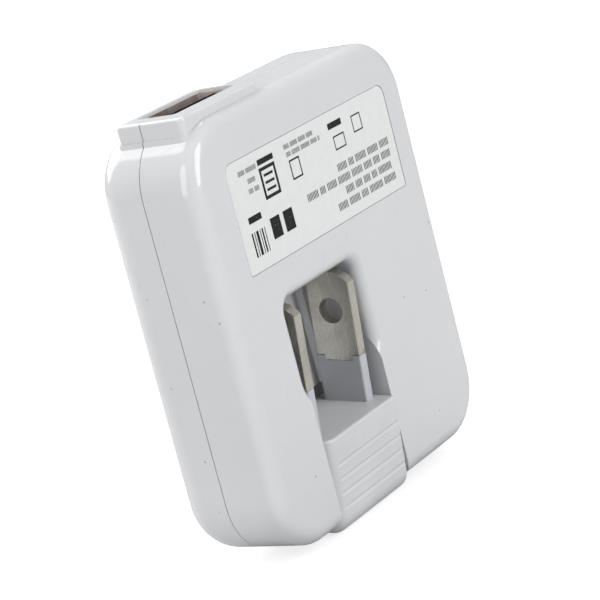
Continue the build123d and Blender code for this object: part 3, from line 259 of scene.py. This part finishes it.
def metal(name, colour, roughness, grain_scale, tarnish=0.12):
    """Rolled or plated metal: grain along one axis, faint stains and fine pits."""
    shader = Shader(name)
    grain = shader.noise(1.0, 6.0, 0.65, shader.stretched(grain_scale))
    stain = shader.remap(shader.noise(260.0, detail=5.0), 0.42, 0.7)
    dulled = tuple(part * (1.0 - 2.2 * tarnish) for part in colour)
    base = shader.mix(shader.math("MULTIPLY", stain, 0.7), colour, dulled)
    pits = shader.remap(shader.cells(1900.0), 0.05, 0.12, 1.0, 0.0)
    base = shader.mix(shader.math("MULTIPLY", pits, 0.35), base, tuple(0.5 * part for part in dulled))
    shader.set(Base_Color=base, Metallic=1.0)
    spread = shader.remap(grain, 0.3, 0.7, roughness * 0.75, roughness * 1.3)
    shader.set(Roughness=shader.math("ADD", spread, shader.math("MULTIPLY", stain, tarnish)))
    shader.bump(grain, 0.006 * MM, 0.5)
    return shader.material


def label_film():
    """Matt printed film with a slight paper-like mottle."""
    shader = Shader("label_film")
    mottle = shader.remap(shader.noise(800.0, detail=5.0), 0.3, 0.7)
    shader.set(Base_Color=shader.mix(mottle, (0.60, 0.612, 0.606), (0.625, 0.635, 0.628)))
    shader.set(Roughness=shader.remap(shader.noise(400.0, detail=3.0), 0.3, 0.7, 0.34, 0.46), IOR=1.45)
    shader.bump(shader.noise(1500.0, detail=3.0), 0.004 * MM, 0.5)
    return shader.material


def printing_ink():
    """Black thermal print, thinner where the ribbon skipped."""
    shader = Shader("printing_ink")
    worn = shader.remap(shader.noise(5200.0, detail=3.0), 0.62, 0.78)
    shader.set(Base_Color=shader.mix(worn, (0.012, 0.012, 0.014), (0.16, 0.16, 0.165)))
    shader.set(Roughness=shader.remap(shader.noise(900.0), 0.3, 0.7, 0.38, 0.55), Specular_IOR_Level=0.12)
    return shader.material


def laminate():
    """Paper-based circuit board: brown, slightly fibrous, with a satin resin surface."""
    shader = Shader("board_laminate")
    fibre = shader.remap(shader.noise(1.0, 6.0, 0.7, shader.stretched((700.0, 60.0, 90.0))), 0.3, 0.7)
    shader.set(Base_Color=shader.mix(fibre, (0.30, 0.18, 0.06), (0.42, 0.27, 0.10)), Roughness=0.45)
    shader.bump(fibre, 0.01 * MM, 0.5)
    return shader.material


def wound_wire(name, colour):
    """Enamelled winding: fine turns stacked along the coil, with painted shade darkening the hollows
    between the turns.
    """
    shader = Shader(name)
    turns = shader.add("ShaderNodeTexWave", bands_direction="Y")
    shader.link(*shader.place, turns, "Vector")
    turns.inputs["Scale"].default_value = 900.0
    turns.inputs["Distortion"].default_value = 0.4
    height = (turns, "Fac")
    # Painted shade: the colour falls to 0.55 of the copper in the hollows between turns, where shade would
    # fall.
    painted_turn_shade = shader.mix(height, tuple(0.55 * part for part in colour), colour)
    shader.set(Base_Color=painted_turn_shade, Metallic=0.7, Roughness=0.28)
    shader.bump(height, 0.05 * MM, 0.9)
    return shader.material


def build_materials():
    """One finish for every material slot of the charger."""
    return {
        "white_case": moulded_plastic("white_case", WHITE, 0.09),
        "carrier_plastic": matt_plastic("carrier_plastic", (0.57, 0.575, 0.59), 0.36, 0.006),
        # Sleeve grey: partly the sleeve's own darker plastic and partly painted shade, darkened and tinted
        # grey-blue to stand in for the shade inside the blade recess.
        "sleeve_plastic": matt_plastic("sleeve_plastic", (0.46, 0.47, 0.50), 0.36, 0.006),
        "inner_plastic": matt_plastic("inner_plastic", (0.55, 0.55, 0.54), 0.5),
        "label_film": label_film(),
        "plated_blade": metal("plated_blade", (0.58, 0.56, 0.50), 0.26, (5000.0, 2600.0, 160.0)),
        "pin_brass": metal("pin_brass", (0.72, 0.55, 0.26), 0.3, (200.0, 3000.0, 3000.0)),
        "screw_steel": metal("screw_steel", (0.6, 0.6, 0.58), 0.35, (2500.0, 300.0, 2500.0)),
        "spring_steel": metal("spring_steel", (0.45, 0.46, 0.48), 0.28, (300.0, 2500.0, 2500.0)),
        "contact_bronze": metal("contact_bronze", (0.66, 0.42, 0.24), 0.3, (3000.0, 200.0, 3000.0)),
        "socket_shell": metal("socket_shell", (0.62, 0.55, 0.53), 0.4, (900.0, 900.0, 120.0)),
        "contact_gold": metal("contact_gold", (0.83, 0.62, 0.25), 0.2, (1500.0, 1500.0, 100.0), 0.04),
        "socket_insulator": matt_plastic("socket_insulator", (0.008, 0.008, 0.009), 0.5, 0.01, 0.0),
        "board_laminate": laminate(),
        "input_can": matt_plastic("input_can", (0.01, 0.012, 0.03), 0.3, 0.004),
        "output_can": matt_plastic("output_can", (0.01, 0.03, 0.018), 0.3, 0.004),
        "blue_coating": matt_plastic("blue_coating", (0.02, 0.09, 0.30), 0.3, 0.02),
        "amber_coating": matt_plastic("amber_coating", (0.45, 0.17, 0.02), 0.3, 0.02),
        "resistor_coating": matt_plastic("resistor_coating", (0.12, 0.24, 0.17), 0.5, 0.02),
        "package_epoxy": matt_plastic("package_epoxy", (0.014, 0.014, 0.015), 0.55, 0.012),
        "opto_epoxy": matt_plastic("opto_epoxy", (0.66, 0.65, 0.60), 0.55, 0.012),
        "resistor_ceramic": matt_plastic("resistor_ceramic", (0.02, 0.02, 0.024), 0.25, 0.004),
        "ferrite": matt_plastic("ferrite", (0.035, 0.035, 0.036), 0.6, 0.03),
        "bobbin_plastic": matt_plastic("bobbin_plastic", (0.02, 0.02, 0.02), 0.45, 0.01),
        "copper_winding": wound_wire("copper_winding", (0.72, 0.25, 0.08)),
        "winding_tape": matt_plastic("winding_tape", (0.72, 0.52, 0.05), 0.3, 0.006),
    }


def dress_nodes(materials):
    """Give each CAD node the finish of its material slot."""
    slots = {part["node"]: part["material_slot"] for part in frame["record"]["subparts"]}
    for name, node in frame["nodes"].items():
        node.data.materials.clear()
        node.data.materials.append(materials[slots[name]])


# ---------------------------------------------------------------- printed label
def flat_piece(name, build, material):
    """Mesh piece printed on the label: build draws it with bmesh in label millimetres."""
    mesh = bpy.data.meshes.new(name)
    shape = bmesh.new()
    build(shape)
    bmesh.ops.transform(shape, matrix=Matrix.Scale(MM, 4), verts=shape.verts)
    shape.to_mesh(mesh)
    shape.free()
    mesh.materials.append(material)
    piece = bpy.data.objects.new(name, mesh)
    bpy.context.scene.collection.objects.link(piece)
    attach(piece, "casing")
    return piece


def label_printing(ink):
    """Generic print on the label: rows of plain ticks, bars and frames, without any lettering."""
    film_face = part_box("rating_label")[0].y / MM
    scatter = random.Random(4)

    def slab(shape, left, right, bottom, top):
        """Thin block on the film between two x and two z."""
        corners = [(left, bottom), (right, bottom), (right, top), (left, top)]
        front = [shape.verts.new((x, film_face - INK_DEPTH, z)) for x, z in corners]
        back = [shape.verts.new((x, film_face, z)) for x, z in corners]
        shape.faces.new(front)
        shape.faces.new(list(reversed(back)))
        for here in range(4):
            after = (here + 1) % 4
            shape.faces.new((front[after], front[here], back[here], back[after]))

    def tick_row(shape, start, end, middle, height):
        """A row of upright ticks, all alike, in groups of uneven length."""
        pitch = height * TICK_PITCH
        stroke = height * TICK_STROKE
        x = start
        while x < end:
            for _ in range(scatter.randint(*TICK_GROUP)):
                if x > end:
                    break
                slab(shape, x, x + stroke, middle - height / 2, middle + height / 2)
                x += pitch
            x += pitch * TICK_GROUP_GAP

    def frame_mark(shape, middle_x, middle_z, width, height, line):
        """Rectangular outline."""
        left, right = middle_x - width / 2, middle_x + width / 2
        bottom, top = middle_z - height / 2, middle_z + height / 2
        slab(shape, left, right, bottom, bottom + line)
        slab(shape, left, right, top - line, top)
        slab(shape, left, left + line, bottom + line, top - line)
        slab(shape, right - line, right, bottom + line, top - line)

    def draw(shape):
        for start, end, middle in RATING_ROWS:
            tick_row(shape, start, end, middle, RATING_TICK_HEIGHT)
        for start, end, middle in SMALL_ROWS:
            tick_row(shape, start, end, middle, SMALL_TICK_HEIGHT)
        for bar in BARS:
            slab(shape, *bar)
        for mark in FRAMES:
            frame_mark(shape, *mark)
        for middle in LIST_LINE_MIDDLES:
            bottom, top = middle - LIST_LINE_HALF_HEIGHT, middle + LIST_LINE_HALF_HEIGHT
            slab(shape, LIST_LINE_LEFT, LIST_LINE_RIGHT, bottom, top)
        slab(shape, *STRIPE_BAR)
        for left, width in STRIPES:
            slab(shape, left, left + width, STRIPE_BOTTOM, STRIPE_TOP)
        for block in BLOCKS:
            slab(shape, *block)

    flat_piece("label_printing", draw, ink)


# ---------------------------------------------------------------- studio
def pale_floor():
    """Plain floor under the charger, which the camera sees as white."""
    finish = Shader("studio_floor")
    grey = (FLOOR_GREY, FLOOR_GREY, FLOOR_GREY)
    finish.set(Base_Color=grey, Roughness=0.8, Emission_Color=(1.0, 1.0, 1.0))
    path = finish.add("ShaderNodeLightPath")
    finish.set(Emission_Strength=finish.math("MULTIPLY", (path, "Is Camera Ray"), FLOOR_GLOW))
    bpy.ops.mesh.primitive_plane_add(size=FLOOR_SIZE, location=(0, 0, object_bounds()[0].z - FLOOR_GAP))
    floor = bpy.context.object
    floor.name = "studio_floor"
    floor.data.materials.append(finish.material)


def lamp(name, direction, distance, size, power):
    """Soft rectangular lamp that points at the charger."""
    data = bpy.data.lights.new(name, "AREA")
    data.shape = "RECTANGLE"
    data.size, data.size_y = size
    data.energy = power
    light = bpy.data.objects.new(name, data)
    bpy.context.scene.collection.objects.link(light)
    light.location = LAMP_AIM + Vector(direction).normalized() * distance
    light.rotation_euler = (LAMP_AIM - light.location).to_track_quat("-Z", "Y").to_euler()


def surroundings():
    """White background for the camera, and softer light for the object, weaker near the camera."""
    world = bpy.data.worlds.new("studio")
    bpy.context.scene.world = world
    world.use_nodes = True
    tree = world.node_tree
    tree.nodes.clear()

    def add(kind, **settings):
        node = tree.nodes.new(kind)
        for key, value in settings.items():
            setattr(node, key, value)
        return node

    output = add("ShaderNodeOutputWorld")
    backdrop = add("ShaderNodeBackground")
    room = add("ShaderNodeBackground")
    chosen = add("ShaderNodeMixShader")
    path = add("ShaderNodeLightPath")
    place = add("ShaderNodeTexCoord")
    aside = add("ShaderNodeVectorMath", operation="DOT_PRODUCT")
    fall = add("ShaderNodeMapRange")
    aside.inputs[1].default_value = TOWARDS_CAMERA
    fall.inputs["From Min"].default_value = FALL_START
    fall.inputs["From Max"].default_value = 1.0
    fall.inputs["To Min"].default_value = STRENGTH_AROUND
    fall.inputs["To Max"].default_value = STRENGTH_AT_CAMERA
    tree.links.new(place.outputs["Generated"], aside.inputs[0])
    tree.links.new(aside.outputs["Value"], fall.inputs["Value"])
    tree.links.new(fall.outputs["Result"], room.inputs["Strength"])
    tree.links.new(path.outputs["Is Camera Ray"], chosen.inputs["Fac"])
    tree.links.new(room.outputs["Background"], chosen.inputs[1])
    tree.links.new(backdrop.outputs["Background"], chosen.inputs[2])
    tree.links.new(chosen.outputs["Shader"], output.inputs["Surface"])
    backdrop.inputs["Color"].default_value = (1.0, 1.0, 1.0, 1.0)


def camera():
    """Long lens looking at the wall side from the left, slightly from above and rolled."""
    azimuth = math.radians(CAMERA_AZIMUTH)
    elevation = math.radians(CAMERA_ELEVATION)
    roll = math.radians(CAMERA_ROLL)
    forward = Vector(
        (
            math.sin(azimuth) * math.cos(elevation),
            math.cos(azimuth) * math.cos(elevation),
            -math.sin(elevation),
        )
    )
    level_right = forward.cross(Vector((0, 0, 1))).normalized()
    level_up = level_right.cross(forward)
    up = level_up * math.cos(roll) + level_right * math.sin(roll)
    right = forward.cross(up)
    data = bpy.data.cameras.new("camera")
    data.sensor_width = SENSOR_WIDTH
    data.lens = LENS
    data.clip_start = CLIP_START
    data.clip_end = CLIP_END
    eye = bpy.data.objects.new("camera", data)
    bpy.context.scene.collection.objects.link(eye)
    placement = Matrix((right, up, -forward)).transposed().to_4x4()
    placement.translation = CAMERA_AIM - forward * CAMERA_DISTANCE
    eye.matrix_world = placement
    bpy.context.scene.camera = eye


dress_nodes(build_materials())
label_printing(printing_ink())
pale_floor()
surroundings()
for lamp_name, settings in LAMPS.items():
    lamp(lamp_name, *settings)
camera()
bpy.context.scene.view_settings.view_transform = "Standard"
